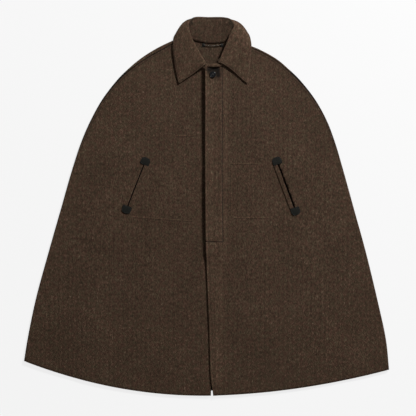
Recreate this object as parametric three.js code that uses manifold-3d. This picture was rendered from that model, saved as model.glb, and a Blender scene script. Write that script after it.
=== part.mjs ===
// A wool cape coat laid flat on its back, collar up the page and front edges closed.
// Millimetres. X runs across the garment, Y up towards the collar, Z up from the surface it lies on.
import * as THREE from "three";
import Module from "manifold-3d";
import { mergeVertices } from "three/addons/utils/BufferGeometryUtils.js";

const wasm = await Module();
wasm.setup();

// Cloth
const CLOTH = 2.4; // thickness of the coating wool
const COLLAR_CLOTH = 2.6; // upper and under collar pressed together
const SEAM_GAP = 0.3; // between pieces sewn to each other
const REST_GAP = 0.5; // between layers that lie on each other
const EDGE_ROLL = 6.8; // full height of the soft side edge, where the back turns into the front

// Main sizes
const HALF_WIDTH = 510.5; // at the hem corners
const HALF_LENGTH = 529.5; // from the middle up to the collar's top, and down to the hem at centre front
const LEFT_CORNER_Y = -433;
const RIGHT_CORNER_Y = -457;
const LEFT_HEM_SAG = 26.5; // how far each front hem bows below the line between its ends
const RIGHT_HEM_SAG = 14.5;
const BACK_HEM_SAG = 70.5; // the back lies a little shorter than the fronts at its middle

// Neck hole: the fronts are scooped out round this centre, the back is almost straight
const NECK = {
  x: 2,
  y: 468,
  half_width: 75,
  front_depth: 73,
  back_low_x: 15,
  back_low_y: 460.4,
  back_curve: 0.0029,
};

// How far the cloth reaches to each side, by height
const SILHOUETTE = [
  { y: 459, left: 103, right: 97 },
  { y: 438, left: 145, right: 148 },
  { y: 410, left: 188, right: 198 },
  { y: 382, left: 221, right: 231 },
  { y: 354, left: 249, right: 260 },
  { y: 298, left: 292, right: 304 },
  { y: 242, left: 323, right: 335 },
  { y: 186, left: 348, right: 357 },
  { y: 102, left: 376, right: 382 },
  { y: -10, left: 408, right: 413 },
  { y: -122, left: 440, right: 444 },
  { y: -262, left: 478, right: 478 },
  { y: -374, left: 501, right: 502 },
];

// Where the shoulder seam lies, in from the outline along the front, by share of the side's length
const SHOULDER_SEAM = [
  { at: 0, left: 4.8, right: 4.5 },
  { at: 0.025, left: 7.5, right: 4.5 },
  { at: 0.06, left: 10, right: 4.5 },
  { at: 0.12, left: 8, right: 4.5 },
  { at: 0.19, left: 3.6, right: 3.6 },
  { at: 0.27, left: 2, right: 2 },
  { at: 0.35, left: 0.7, right: 0.7 },
  { at: 0.42, left: 0, right: 0 },
  { at: 1, left: 0, right: 0 },
];

// Edge of the front that lies on top, and how far it stands off the one below
const TOP_EDGE = [
  { y: 396, x: -4.3, lift: 2.6 },
  { y: 300, x: -4.3, lift: 2.6 },
  { y: 157, x: -4.6, lift: 1.2 },
  { y: 20, x: -4, lift: 2 },
  { y: -94, x: -2.6, lift: 1.6 },
  { y: -206, x: 1.4, lift: 0.7 },
  { y: -346, x: 7, lift: 0.4 },
  { y: -470, x: 11, lift: 0.2 },
  { y: -529.5, x: 18.5, lift: 0.2 },
];
const UNDER_EDGE = { top_x: 43, hem_x: 12.2 }; // edge of the front below, hidden down to the hem

// Concealed button strip under the top front
const FLY = { thickness: 1.8, inset: 3, reach: 46, top_y: 388, bottom_y: -99 };

// Soft folds that the cloth lies in, as ridges that fade at both ends
const FOLDS = [
  { x0: -95, y0: 330, x1: -215, y1: -440, width: 46, height: 1.1 },
  { x0: -190, y0: 300, x1: -360, y1: -400, width: 52, height: 1.3 },
  { x0: -250, y0: 180, x1: -440, y1: -330, width: 34, height: 0.9 },
  { x0: -60, y0: 60, x1: -95, y1: -500, width: 38, height: 0.8 },
  { x0: 120, y0: 320, x1: 170, y1: -470, width: 48, height: 1 },
  { x0: 210, y0: 290, x1: 330, y1: -430, width: 56, height: 1.4 },
  { x0: 290, y0: 150, x1: 430, y1: -360, width: 36, height: 0.9 },
  { x0: 95, y0: 20, x1: 85, y1: -500, width: 36, height: 0.7 },
];

// Arm slits, from the middle of the upper tab to the middle of the lower one
const SLITS = [
  { name: "right", x0: -170.7, y0: 126, x1: -224.1, y1: -9.5, width: 2.4 },
  { name: "left", x0: 196.1, y0: 127.1, x1: 248.8, y1: -14, width: 3.6 },
];
const WELT = { width: 11, thickness: 1.6 };
const TAB = { width: 28, length: 23, thickness: 1.8 };

// The collar, a row for each section from one front end round the back to the other. Each section
// runs from the neck seam (n) up the stand to the roll (r), then out over the fall (f) to its edge (e).
// At the back the stand lies over the fall; from the shoulders on, the fall lies over the stand.
const COLLAR = [
  { n: [-6, 398, 5], r: [-1, 396.5, 15.2], f: [-39, 368, 12.2], e: [-78, 341.5, 8.4] },
  { n: [-40, 411.6, 5], r: [-19, 427, 15.4], f: [-56, 403, 13], e: [-86, 378, 8.8] },
  { n: [-61, 436.4, 5], r: [-36, 456, 15.4], f: [-68, 437, 13.8], e: [-91.5, 412, 9] },
  { n: [-68, 458, 5.4], r: [-46, 481, 15], f: [-73, 470, 13.8], e: [-94.6, 450, 9.8] },
  { n: [-60, 475, 4.8], r: [-50.5, 505, 12], f: [-77, 495, 8.6], e: [-87.5, 478, 5.2] },
  { n: [-38, 465.5, 4.2], r: [-38, 525.2, 8.6], f: [-54, 518.5, 3.2], e: [-50, 478, 1.7] },
  { n: [4, 457, 4.2], r: [4, 527.9, 4.2], f: [4, 500, 1.7], e: [4, 463, 1.7] },
  { n: [53, 461.5, 4.2], r: [64, 523, 8.6], f: [79, 517, 3.2], e: [66, 474, 1.7] },
  { n: [67, 476, 4.8], r: [77.5, 505, 12], f: [104, 499, 8.6], e: [114, 483.5, 4.4] },
  { n: [70, 461, 5.4], r: [67, 482, 15], f: [104, 472, 13.6], e: [125, 455, 8.6] },
  { n: [65.5, 438, 5.4], r: [57, 456, 15.6], f: [94, 438, 13.8], e: [122.4, 412, 8] },
  { n: [52, 418, 7.8], r: [45, 427, 16], f: [85, 405, 13.4], e: [119, 377, 7.8] },
  { n: [38, 408, 9.8], r: [33, 402.5, 16.4], f: [73, 378, 13.4], e: [114, 342.5, 7.8] },
];
const ROLL_TURN = { length: 3.4, spread: 2.1 }; // how sharply the collar turns over at its roll
const COLLAR_STEPS = 50;
const ACROSS_COLLAR = [0, 0.14, 0.28, 0.36, 0.4, 0.44, 0.48, 0.53, 0.58, 0.66, 0.76, 0.88, 1];

// Hanger chain inside the back neck, and the cloth ends that hold it
const CHAIN = { x0: -8, x1: 43, y: 451.5, sag: 3, radius: 1.1, height: 5.3 };
const CHAIN_END = { width: 8, low_y: 446, high_y: 455.5, thickness: 0.8 };

// Neck button
const BUTTON = {
  x: 17.2,
  y: 367.6,
  radius: 9,
  height: 3.2,
  dish: 0.9,
  rim: 1.8,
  hole_radius: 1,
  hole_offset: 1.9,
};

const COLOUR = { wool: 0x3f3329, tab: 0x1b1b19, button: 0x14161a, metal: 0x8d8c84 };

// Small helpers
const lerp = (a, b, t) => a + (b - a) * t;
const smooth = (t) => {
  const c = Math.min(1, Math.max(0, t));
  return c * c * (3 - 2 * c);
};

// A smooth curve through a table's column, read at any value of its key column
function column(table, key, name) {
  const rows = [...table].sort((a, b) => a[key] - b[key]);
  const slope = rows.map((_, i) => {
    const a = rows[Math.max(0, i - 1)];
    const b = rows[Math.min(rows.length - 1, i + 1)];
    return (b[name] - a[name]) / (b[key] - a[key]);
  });
  return (at) => {
    let i = rows.findIndex((r) => r[key] >= at);
    if (i < 0) return rows[rows.length - 1][name];
    if (i === 0) return rows[0][name];
    i -= 1;
    const span = rows[i + 1][key] - rows[i][key];
    const t = (at - rows[i][key]) / span;
    const t2 = t * t;
    const t3 = t2 * t;
    return (
      (2 * t3 - 3 * t2 + 1) * rows[i][name] +
      (t3 - 2 * t2 + t) * span * slope[i] +
      (3 * t2 - 2 * t3) * rows[i + 1][name] +
      (t3 - t2) * span * slope[i + 1]
    );
  };
}

const topEdgeX = column(TOP_EDGE, "y", "x");
const topEdgeLift = column(TOP_EDGE, "y", "lift");
const seamIn = {
  left: column(SHOULDER_SEAM, "at", "left"),
  right: column(SHOULDER_SEAM, "at", "right"),
};

// Outline of one side of the picture, from the neck point down to the hem corner
function sideCurve(side) {
  const sign = side === "left" ? -1 : 1;
  const neckPoint = new THREE.Vector3(NECK.x + sign * NECK.half_width, NECK.y + 3, 0);
  const cornerY = side === "left" ? LEFT_CORNER_Y : RIGHT_CORNER_Y;
  const corner = new THREE.Vector3(sign * (HALF_WIDTH - CLOTH / 2), cornerY, 0);
  const between = SILHOUETTE.map((row) => new THREE.Vector3(sign * (row[side] - CLOTH / 2), row.y, 0));
  const curve = new THREE.CatmullRomCurve3([neckPoint, ...between, corner], false, "centripetal");
  curve.arcLengthDivisions = 800;
  return curve;
}
const SIDE = { left: sideCurve("left"), right: sideCurve("right") };

// A shallow bow from a to b
function bow(a, b, sag, t) {
  const across = 4 * sag * t * (1 - t);
  return new THREE.Vector3(lerp(a.x, b.x, t), lerp(a.y, b.y, t) - across, 0);
}

// Front neckline, from the neck point (0) to the front edge's x (1)
function frontNeck(side, endX, t) {
  const sign = side === "left" ? -1 : 1;
  const start = sign * NECK.half_width;
  const end = endX - NECK.x;
  const angle = lerp(0, Math.acos(end / start), t);
  const x = NECK.x + start * Math.cos(angle);
  const y = NECK.y + 3 * (1 - t) - NECK.front_depth * Math.sin(angle);
  return new THREE.Vector3(x, y, 0);
}

function underEdgeX(y) {
  const up = (y + HALF_LENGTH) / (2 * HALF_LENGTH - 134);
  return lerp(UNDER_EDGE.hem_x, UNDER_EDGE.top_x, up);
}

// A patch between four curves: first(v) at u = 0, last(v) at u = 1, start(u) at v = 0, end(u) at v = 1
function patch(first, last, start, end) {
  return (u, v) => {
    const p = first(v).clone().multiplyScalar(1 - u).addScaledVector(last(v), u);
    const q = start(u).clone().multiplyScalar(1 - v).addScaledVector(end(u), v);
    const corners = first(0).clone().multiplyScalar((1 - u) * (1 - v));
    corners.addScaledVector(last(0), u * (1 - v));
    corners.addScaledVector(first(1), (1 - u) * v);
    corners.addScaledVector(last(1), u * v);
    return p.add(q).sub(corners);
  };
}

// Height of the cloth's soft folds at a point
function foldHeight(x, y) {
  let z = 0;
  for (const f of FOLDS) {
    const dx = f.x1 - f.x0;
    const dy = f.y1 - f.y0;
    const along = ((x - f.x0) * dx + (y - f.y0) * dy) / (dx * dx + dy * dy);
    const off = Math.abs((x - f.x0) * dy - (y - f.y0) * dx) / Math.hypot(dx, dy);
    const ends = smooth(along / 0.3) * smooth((1.12 - along) / 0.25);
    z += f.height * Math.exp(-((off / f.width) ** 2)) * ends;
  }
  return z;
}

// Middle of the front layer where it lies on the back, at a distance in from the outline
const EDGE_EXTRA = EDGE_ROLL - 2 * CLOTH - REST_GAP;
function frontMiddle(x, y, inFromEdge) {
  const nearEdge = EDGE_EXTRA * Math.exp(-inFromEdge / 45);
  const folds = foldHeight(x, y) * smooth(inFromEdge / 70);
  return 1.5 * CLOTH + REST_GAP + nearEdge + folds;
}

// How far the top front is held up by the front below it and by the button strip
function overlapLift(x, y) {
  const overlap = underEdgeX(y) - topEdgeX(y);
  const across = 1 - smooth((x - underEdgeX(y) - 3) / 26);
  return (CLOTH + REST_GAP) * across * smooth((overlap + 9) / 9);
}
function flyLift(x, y) {
  const across = 1 - smooth((x - topEdgeX(y) - FLY.reach - 2) / 14);
  const down = smooth((y - FLY.bottom_y + 60) / 40);
  return (FLY.thickness + REST_GAP) * across * down;
}
const edgeLift = (x, y) => topEdgeLift(y) * Math.exp(-Math.max(0, x - topEdgeX(y)) / 14);

const MIDDLE_RADIUS = (EDGE_ROLL - CLOTH) / 2; // of the cloth's middle round the side edge
const QUARTER = (Math.PI / 2) * MIDDLE_RADIUS;

// Where the cloth's middle is at a length along it from the outline: onto the front when positive,
// onto the back when negative. The point also carries the direction that the cloth faces there.
function onSide(side, v, length) {
  const angle = Math.min(Math.abs(length) / MIDDLE_RADIUS, Math.PI / 2);
  const inwards = MIDDLE_RADIUS * (1 - Math.cos(angle)) + Math.max(0, Math.abs(length) - QUARTER);
  const tangent = SIDE[side].getTangentAt(v);
  const inward = new THREE.Vector3(-tangent.y, tangent.x, 0).multiplyScalar(side === "left" ? 1 : -1);
  const p = SIDE[side].getPointAt(v).addScaledVector(inward, inwards);
  p.z = EDGE_ROLL / 2 + Math.sign(length) * MIDDLE_RADIUS * Math.sin(angle);
  if (length > QUARTER) p.z = frontMiddle(p.x, p.y, inwards);
  p.faces = inward.multiplyScalar(-Math.cos(angle)).setZ(Math.sign(length) * Math.sin(angle));
  return p;
}

// Lengths along the cloth, from its seam to where it lies flat
function rollLengths(seam) {
  const steps = [];
  const turns = 5;
  for (let i = 0; i <= turns; i++) steps.push(lerp(seam, Math.max(seam + 1, QUARTER + 0.2), i / turns));
  return steps;
}

// Direction of a row of points at one of them; the ends follow the curve of the three nearest
function slopeAt(point, k, last) {
  const s = (index, weight) => point(index).clone().multiplyScalar(weight);
  if (k === 0) return s(0, -3).add(s(1, 4)).add(s(2, -1));
  if (k === last) return s(last, 3).add(s(last - 1, -4)).add(s(last - 2, 1));
  return point(k + 1).clone().sub(point(k - 1));
}

// A closed wall of the given thickness round a grid of middle points
function wall(grid, thickness) {
  const rows = grid.length;
  const cols = grid[0].length;
  const outer = [];
  const inner = [];
  for (let i = 0; i < rows; i++)
    for (let j = 0; j < cols; j++) {
      const down = slopeAt((k) => grid[k][j], i, rows - 1);
      const along = slopeAt((k) => grid[i][k], j, cols - 1);
      const n = new THREE.Vector3().crossVectors(down, along).normalize();
      const faces = grid[i][j].faces;
      if (faces) n.copy(faces.clone().multiplyScalar(Math.sign(n.dot(faces)) || 1));
      outer.push(grid[i][j].clone().addScaledVector(n, thickness / 2));
      inner.push(grid[i][j].clone().addScaledVector(n, -thickness / 2));
    }
  const points = [...outer, ...inner];
  const faces = [];
  const at = (i, j) => i * cols + j;
  const under = outer.length;
  const quad = (a, b, c, d) => faces.push(a, b, c, a, c, d);
  for (let i = 0; i < rows - 1; i++)
    for (let j = 0; j < cols - 1; j++) {
      quad(at(i, j), at(i + 1, j), at(i + 1, j + 1), at(i, j + 1));
      quad(under + at(i, j), under + at(i, j + 1), under + at(i + 1, j + 1), under + at(i + 1, j));
    }
  const rim = [];
  for (let j = 0; j < cols; j++) rim.push(at(0, j));
  for (let i = 1; i < rows; i++) rim.push(at(i, cols - 1));
  for (let j = cols - 2; j >= 0; j--) rim.push(at(rows - 1, j));
  for (let i = rows - 2; i > 0; i--) rim.push(at(i, 0));
  rim.forEach((a, k) => {
    const b = rim[(k + 1) % rim.length];
    quad(a, b, under + b, under + a);
  });
  const geometry = new THREE.BufferGeometry().setFromPoints(points);
  geometry.setIndex(faces);
  return facingOut(geometry);
}

// Turns a closed mesh the right way out
function facingOut(geometry) {
  const p = geometry.getAttribute("position");
  const index = geometry.index.array;
  const [a, b, c] = [new THREE.Vector3(), new THREE.Vector3(), new THREE.Vector3()];
  let volume = 0;
  for (let i = 0; i < index.length; i += 3) {
    a.fromBufferAttribute(p, index[i]);
    b.fromBufferAttribute(p, index[i + 1]);
    c.fromBufferAttribute(p, index[i + 2]);
    volume += a.dot(b.cross(c));
  }
  if (volume < 0) geometry.setIndex(Array.from(index).reverse());
  return geometry;
}

// Cuts with manifold-3d
function solid(geometry) {
  const g = geometry.clone();
  g.deleteAttribute("normal");
  g.deleteAttribute("uv");
  const merged = mergeVertices(g, 1e-4);
  const vertProperties = merged.attributes.position.array;
  const triVerts = new Uint32Array(merged.index.array);
  return new wasm.Manifold(new wasm.Mesh({ numProp: 3, vertProperties, triVerts }));
}
function fromSolid(made) {
  const mesh = made.getMesh();
  const geometry = new THREE.BufferGeometry();
  geometry.setAttribute("position", new THREE.BufferAttribute(mesh.vertProperties, 3));
  geometry.setIndex(new THREE.BufferAttribute(mesh.triVerts, 1));
  return geometry;
}

// Row positions down a panel: closer together round the shoulder, where the outline turns
const ROWS = 30;
const ROLL_STEPS = 10; // round the side edge
const rowAt = (i) => lerp(i / ROWS, (i / ROWS) ** 1.25, 0.6);

// One front, from its shoulder and side seam to its front edge
function frontGrid(side) {
  const isTop = side === "right"; // the front on the right of the picture lies on top
  const outline = (v) => SIDE[side].getPointAt(v);
  const hemEnd = new THREE.Vector3(isTop ? topEdgeX(-HALF_LENGTH) : UNDER_EDGE.hem_x, -HALF_LENGTH, 0);
  const neckEndX = isTop ? topEdgeX(HALF_LENGTH) : UNDER_EDGE.top_x;
  const neck = (u) => frontNeck(side, neckEndX, u);
  const hem = (u) => bow(outline(1), hemEnd, isTop ? RIGHT_HEM_SAG : LEFT_HEM_SAG, u);
  const edgeX = isTop ? topEdgeX : underEdgeX;
  const frontEdge = (v) => {
    const y = lerp(neck(1).y, hemEnd.y, v);
    return new THREE.Vector3(v === 0 ? neck(1).x : v === 1 ? hemEnd.x : edgeX(y), y, 0);
  };
  const surface = patch(outline, frontEdge, neck, hem);
  const inner = [0.04, 0.11, 0.2, 0.32, 0.44, 0.56, 0.68, 0.8, 0.9];
  const nearEdge = [90, 76, 62, 55, 47, 38, 28, 18, 9, 0]; // from the front edge
  const grid = [];
  for (let i = 0; i <= ROWS; i++) {
    const v = rowAt(i);
    const length = surface(0, v).distanceTo(surface(0.1, v)) * 10;
    const across = surface(0, v).distanceTo(surface(1, v));
    const seam = seamIn[side](v) + SEAM_GAP * 0.6;
    const row = [];
    const place = (u) => {
      const p = surface(u, v);
      p.z = frontMiddle(p.x, p.y, u * length);
      if (isTop) p.z += overlapLift(p.x, p.y) + flyLift(p.x, p.y) + edgeLift(p.x, p.y);
      row.push(p);
    };
    const roll = rollLengths(seam);
    row.push(...roll.map((along) => onSide(side, v, along)));
    const first = roll.at(-1) / length;
    const band = Math.min(nearEdge[0] / across, 0.5);
    for (const u of inner) place(lerp(first, 1 - band, u));
    for (const distance of nearEdge) place(1 - (band * distance) / nearEdge[0]);
    grid.push(row);
  }
  return grid;
}

// The back, in one piece between its two side seams
function backGrid() {
  const left = (v) => SIDE.left.getPointAt(v);
  const right = (v) => SIDE.right.getPointAt(v);
  const neck = (u) => {
    const p = left(0).lerp(right(0), u);
    const low = NECK.back_low_y + NECK.back_curve * (p.x - NECK.back_low_x) ** 2;
    p.y = lerp(p.y, low, smooth(u / 0.16) * smooth((1 - u) / 0.16));
    return p;
  };
  const hem = (u) => bow(left(1), right(1), BACK_HEM_SAG, u);
  const surface = patch(left, right, neck, hem);
  const inner = [0.03, 0.08, 0.15, 0.24, 0.33, 0.42, 0.5, 0.58, 0.67, 0.76, 0.85, 0.92, 0.97];
  const grid = [];
  for (let i = 0; i <= ROWS; i++) {
    const v = rowAt(i);
    const row = [];
    const edge = (side) => {
      const seam = seamIn[side](v) - SEAM_GAP * 0.6;
      const overTop = seam > QUARTER ? 2 : 0; // steps on the front, before the roll begins
      const lengths = [];
      for (let k = 0; k < overTop; k++) lengths.push(lerp(seam, QUARTER, k / overTop));
      const turns = ROLL_STEPS - overTop;
      for (let k = 0; k <= turns; k++) lengths.push(lerp(Math.min(seam, QUARTER), -QUARTER, k / turns));
      return lengths.map((along) => onSide(side, v, along));
    };
    row.push(...edge("left"));
    for (const u of inner) {
      const p = surface(u, v);
      p.z = CLOTH / 2;
      row.push(p);
    }
    row.push(...edge("right").reverse());
    grid.push(row);
  }
  return grid;
}

// The button strip between the two fronts
function flyGrid() {
  const grid = [];
  const steps = 22;
  for (let i = 0; i <= steps; i++) {
    const y = lerp(FLY.top_y, FLY.bottom_y, i / steps);
    const row = [];
    for (const share of [0, 0.12, 0.3, 0.55, 0.8, 1]) {
      const x = topEdgeX(y) + lerp(FLY.inset, FLY.reach, share);
      const below = CLOTH + SEAM_GAP + FLY.thickness / 2;
      row.push(new THREE.Vector3(x, y, frontTop("right", x, y) - below));
    }
    grid.push(row);
  }
  return grid;
}

// Top face of a front, away from its edges
function frontTop(side, x, y) {
  const lifted = side === "right" ? overlapLift(x, y) + flyLift(x, y) + edgeLift(x, y) : 0;
  return frontMiddle(x, y, 120) + lifted + CLOTH / 2;
}

// A flat piece that lies on a front and follows it: rings shrink from the outline to its middle
function onFront(side, outline, thickness, lift) {
  const middle = outline.reduce((sum, p) => sum.add(p), new THREE.Vector2()).divideScalar(outline.length);
  const shares = [1, 0.6, 0.25];
  const points = [];
  for (const above of [lift, lift + thickness])
    for (const share of [...shares, 0])
      for (const p of share ? outline : [middle]) {
        const x = lerp(middle.x, p.x, share);
        const y = lerp(middle.y, p.y, share);
        points.push(new THREE.Vector3(x, y, frontTop(side, x, y) + above));
      }
  const n = outline.length;
  const layer = n * shares.length + 1;
  const faces = [];
  const quad = (a, b, c, d) => faces.push(a, b, c, a, c, d);
  for (let k = 0; k < n; k++) {
    const next = (k + 1) % n;
    for (let r = 0; r < shares.length - 1; r++) {
      quad(layer + r * n + k, layer + r * n + next, layer + (r + 1) * n + next, layer + (r + 1) * n + k);
      quad(r * n + next, r * n + k, (r + 1) * n + k, (r + 1) * n + next);
    }
    const inmost = (shares.length - 1) * n;
    faces.push(layer + inmost + k, layer + inmost + next, 2 * layer - 1);
    faces.push(inmost + next, inmost + k, layer - 1);
    quad(k, next, layer + next, layer + k);
  }
  const geometry = new THREE.BufferGeometry().setFromPoints(points);
  geometry.setIndex(faces);
  return facingOut(geometry);
}

// A tab: a straight edge across the slit and a round end beyond it
function tabOutline(slit, end) {
  const down = new THREE.Vector2(slit.x1 - slit.x0, slit.y1 - slit.y0).normalize();
  const isUpper = end === "upper";
  const outwards = down.clone().multiplyScalar(isUpper ? -1 : 1);
  const across = new THREE.Vector2(-outwards.y, outwards.x);
  const centre = new THREE.Vector2(isUpper ? slit.x0 : slit.x1, isUpper ? slit.y0 : slit.y1);
  const shape = new THREE.Shape();
  const w = TAB.width / 2;
  const l = TAB.length / 2;
  const corner = 3;
  shape.moveTo(-w + corner, -l);
  shape.lineTo(w - corner, -l);
  shape.quadraticCurveTo(w, -l, w, -l + corner);
  shape.lineTo(w, 0);
  shape.bezierCurveTo(w, l * 0.75, w * 0.6, l, 0, l);
  shape.bezierCurveTo(-w * 0.6, l, -w, l * 0.75, -w, 0);
  shape.lineTo(-w, -l + corner);
  shape.quadraticCurveTo(-w, -l, -w + corner, -l);
  return shape
    .getSpacedPoints(24)
    .slice(0, 24)
    .map((p) => centre.clone().addScaledVector(across, p.x).addScaledVector(outwards, p.y));
}

// A welt: the strip along the front-edge side of a slit, between its two tabs
function weltGrid(slit, side) {
  const a = new THREE.Vector2(slit.x0, slit.y0);
  const b = new THREE.Vector2(slit.x1, slit.y1);
  const down = b.clone().sub(a).normalize();
  const towardsFront = new THREE.Vector2(-down.y, down.x).multiplyScalar(side === "left" ? 1 : -1);
  const clear = TAB.length / 2 + 0.5;
  const length = a.distanceTo(b) - 2 * clear;
  const grid = [];
  for (let i = 0; i <= 10; i++) {
    const row = [];
    for (let j = 0; j <= 2; j++) {
      const p = a.clone().addScaledVector(down, clear + (length * i) / 10);
      p.addScaledVector(towardsFront, slit.width / 2 + (WELT.width * j) / 2);
      row.push(new THREE.Vector3(p.x, p.y, frontTop(side, p.x, p.y) + SEAM_GAP + WELT.thickness / 2));
    }
    grid.push(row);
  }
  return grid;
}

// The cut of an arm slit, right through its front
function slitCut(slit) {
  const length = Math.hypot(slit.x1 - slit.x0, slit.y1 - slit.y0) - TAB.length * 0.4;
  const box = new THREE.BoxGeometry(slit.width, length, 40);
  box.rotateZ(-Math.atan2(slit.x1 - slit.x0, slit.y1 - slit.y0));
  box.translate((slit.x0 + slit.x1) / 2, (slit.y0 + slit.y1) / 2, 0);
  return box;
}

// The point that lies a set length from a towards b
const towards = (a, b, length) => b.clone().sub(a).setLength(length).add(a);

function collarGrid() {
  const through = (points) => new THREE.CatmullRomCurve3(points, false, "centripetal");
  const column = (c) => COLLAR.map((row) => new THREE.Vector3(...row[c]));
  const lines = ["n", "r", "f", "e"].map((c) => through(column(c)));
  const grid = [];
  for (let i = 0; i <= COLLAR_STEPS; i++) {
    const t = i / COLLAR_STEPS;
    const [neck, roll, fall, edge] = lines.map((l) => l.getPoint(t));
    const standOver = 1 - 2 * smooth((Math.abs(t - 0.5) - 0.07) / 0.16);
    const beforeTurn = towards(roll, neck, ROLL_TURN.length);
    const afterTurn = towards(roll, fall, ROLL_TURN.length);
    beforeTurn.z = roll.z + ROLL_TURN.spread * standOver;
    afterTurn.z = roll.z - ROLL_TURN.spread * standOver * (standOver > 0 ? 1 : 0.4);
    const stand = neck.clone().lerp(beforeTurn, 0.5);
    stand.z += 0.4;
    const section = through([neck, stand, beforeTurn, roll, afterTurn, fall, edge]);
    grid.push(ACROSS_COLLAR.map((share) => section.getPoint(share)));
  }
  return grid;
}

// Neck button: a dished disc with four thread holes
function buttonGeometry() {
  const b = BUTTON;
  const profile = [
    [0, 0],
    [b.radius - 1.2, 0],
    [b.radius, 0.8],
    [b.radius, b.height - 0.8],
    [b.radius - 0.6, b.height],
    [b.radius - b.rim, b.height],
    [b.radius - b.rim - 1, b.height - b.dish],
    [0, b.height - b.dish],
  ].map(([x, y]) => new THREE.Vector2(x, y));
  const disc = new THREE.LatheGeometry(profile, 28);
  disc.rotateX(Math.PI / 2);
  let made = solid(facingOut(mergeVertices(stripped(disc), 1e-4)));
  for (let k = 0; k < 4; k++) {
    const angle = Math.PI / 4 + (k * Math.PI) / 2;
    const hole = new THREE.CylinderGeometry(b.hole_radius, b.hole_radius, 20, 8);
    hole.rotateX(Math.PI / 2);
    hole.translate(b.hole_offset * Math.cos(angle), b.hole_offset * Math.sin(angle), 0);
    made = made.subtract(solid(hole));
  }
  return fromSolid(made);
}
function stripped(geometry) {
  geometry.deleteAttribute("normal");
  geometry.deleteAttribute("uv");
  return geometry;
}

function chainGeometry() {
  const c = CHAIN;
  const points = [0, 0.25, 0.5, 0.75, 1].map(
    (t) => new THREE.Vector3(lerp(c.x0, c.x1, t), c.y - 4 * c.sag * t * (1 - t), c.height),
  );
  const circle = new THREE.Shape().absarc(0, 0, c.radius, 0, 2 * Math.PI);
  const path = new THREE.CatmullRomCurve3(points);
  const options = { steps: 16, bevelEnabled: false, extrudePath: path, curveSegments: 4 };
  return new THREE.ExtrudeGeometry(circle, options);
}

function chainEndGeometry(x) {
  const e = CHAIN_END;
  const box = new THREE.BoxGeometry(e.width, e.high_y - e.low_y, e.thickness);
  box.translate(x, (e.low_y + e.high_y) / 2, CLOTH + SEAM_GAP + e.thickness / 2);
  return box;
}

const cape = new THREE.Group();
function add(name, geometry, colour, roughness = 0.95, metalness = 0) {
  const material = new THREE.MeshStandardMaterial({ color: colour, roughness, metalness });
  const mesh = new THREE.Mesh(geometry, material);
  mesh.name = name;
  cape.add(mesh);
  return mesh;
}

add("back", wall(backGrid(), CLOTH), COLOUR.wool);
SLITS.forEach((slit) => {
  const side = slit.name === "right" ? "left" : "right"; // the wearer's right is on the picture's left
  const whole = solid(wall(frontGrid(side), CLOTH));
  add("front_" + slit.name, fromSolid(whole.subtract(solid(slitCut(slit)))), COLOUR.wool);
  add("welt_" + slit.name, wall(weltGrid(slit, side), WELT.thickness), COLOUR.wool);
  for (const end of ["upper", "lower"]) {
    const tab = onFront(side, tabOutline(slit, end), TAB.thickness, SEAM_GAP);
    add("tab_" + slit.name + "_" + end, tab, COLOUR.tab);
  }
});
add("fly", wall(flyGrid(), FLY.thickness), COLOUR.wool);
add("collar", wall(collarGrid(), COLLAR_CLOTH), COLOUR.wool);
add("hanger_chain", chainGeometry(), COLOUR.metal, 0.4, 1);
add("hanger_end_right", chainEndGeometry(CHAIN.x0), COLOUR.wool);
add("hanger_end_left", chainEndGeometry(CHAIN.x1), COLOUR.wool);
const button = add("button", buttonGeometry(), COLOUR.button, 0.35);
button.position.set(BUTTON.x, BUTTON.y, frontTop("right", BUTTON.x, BUTTON.y) + 2 * SEAM_GAP);

export default cape;
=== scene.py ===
# A wool cape coat laid flat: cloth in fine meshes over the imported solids, in metres.
import math

import bpy
import numpy as np
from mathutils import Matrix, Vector


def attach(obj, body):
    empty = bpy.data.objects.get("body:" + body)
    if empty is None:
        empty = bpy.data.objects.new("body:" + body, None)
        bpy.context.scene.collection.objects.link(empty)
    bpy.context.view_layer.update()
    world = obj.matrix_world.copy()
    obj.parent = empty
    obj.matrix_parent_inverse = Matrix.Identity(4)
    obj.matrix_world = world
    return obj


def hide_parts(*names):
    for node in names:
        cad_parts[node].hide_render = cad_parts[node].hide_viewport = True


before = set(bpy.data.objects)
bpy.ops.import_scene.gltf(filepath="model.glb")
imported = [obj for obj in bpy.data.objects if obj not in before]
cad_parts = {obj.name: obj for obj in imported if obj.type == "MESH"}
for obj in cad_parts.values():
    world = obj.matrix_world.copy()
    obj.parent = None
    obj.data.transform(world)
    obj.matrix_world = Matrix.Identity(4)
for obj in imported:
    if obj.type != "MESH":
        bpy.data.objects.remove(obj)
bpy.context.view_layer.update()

MM = 0.001

# Sizes of the garment in millimetres
CLOTH = 2.4
COLLAR_CLOTH = 2.6
SEAM_GAP = 0.3
REST_GAP = 0.5
EDGE_ROLL = 6.8
HALF_WIDTH = 510.5
HALF_LENGTH = 529.5
CORNER_Y = {"left": -433.0, "right": -457.0}
HEM_SAG = {"left": 26.5, "right": 14.5}
BACK_HEM_SAG = 70.5
NECK = dict(
    x=2.0, y=468.0, half_width=75.0, front_depth=73.0,
    back_low_x=15.0, back_low_y=460.4, back_curve=0.0029,
)
NECK_RISE = 3.0  # the neck's ends lie this much above its middle line
NECK_TONGUES = [(65, 7, 8), (-58, 9, 9)]  # x, length, half width: the back goes on under the stand
SILHOUETTE = [  # y, left, right
    (459, 103, 97), (438, 145, 148), (410, 188, 198), (382, 221, 231), (354, 249, 260),
    (298, 292, 304), (242, 323, 335), (186, 348, 357), (102, 376, 382), (-10, 408, 413),
    (-122, 440, 444), (-262, 478, 478), (-374, 501, 502),
]
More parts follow.
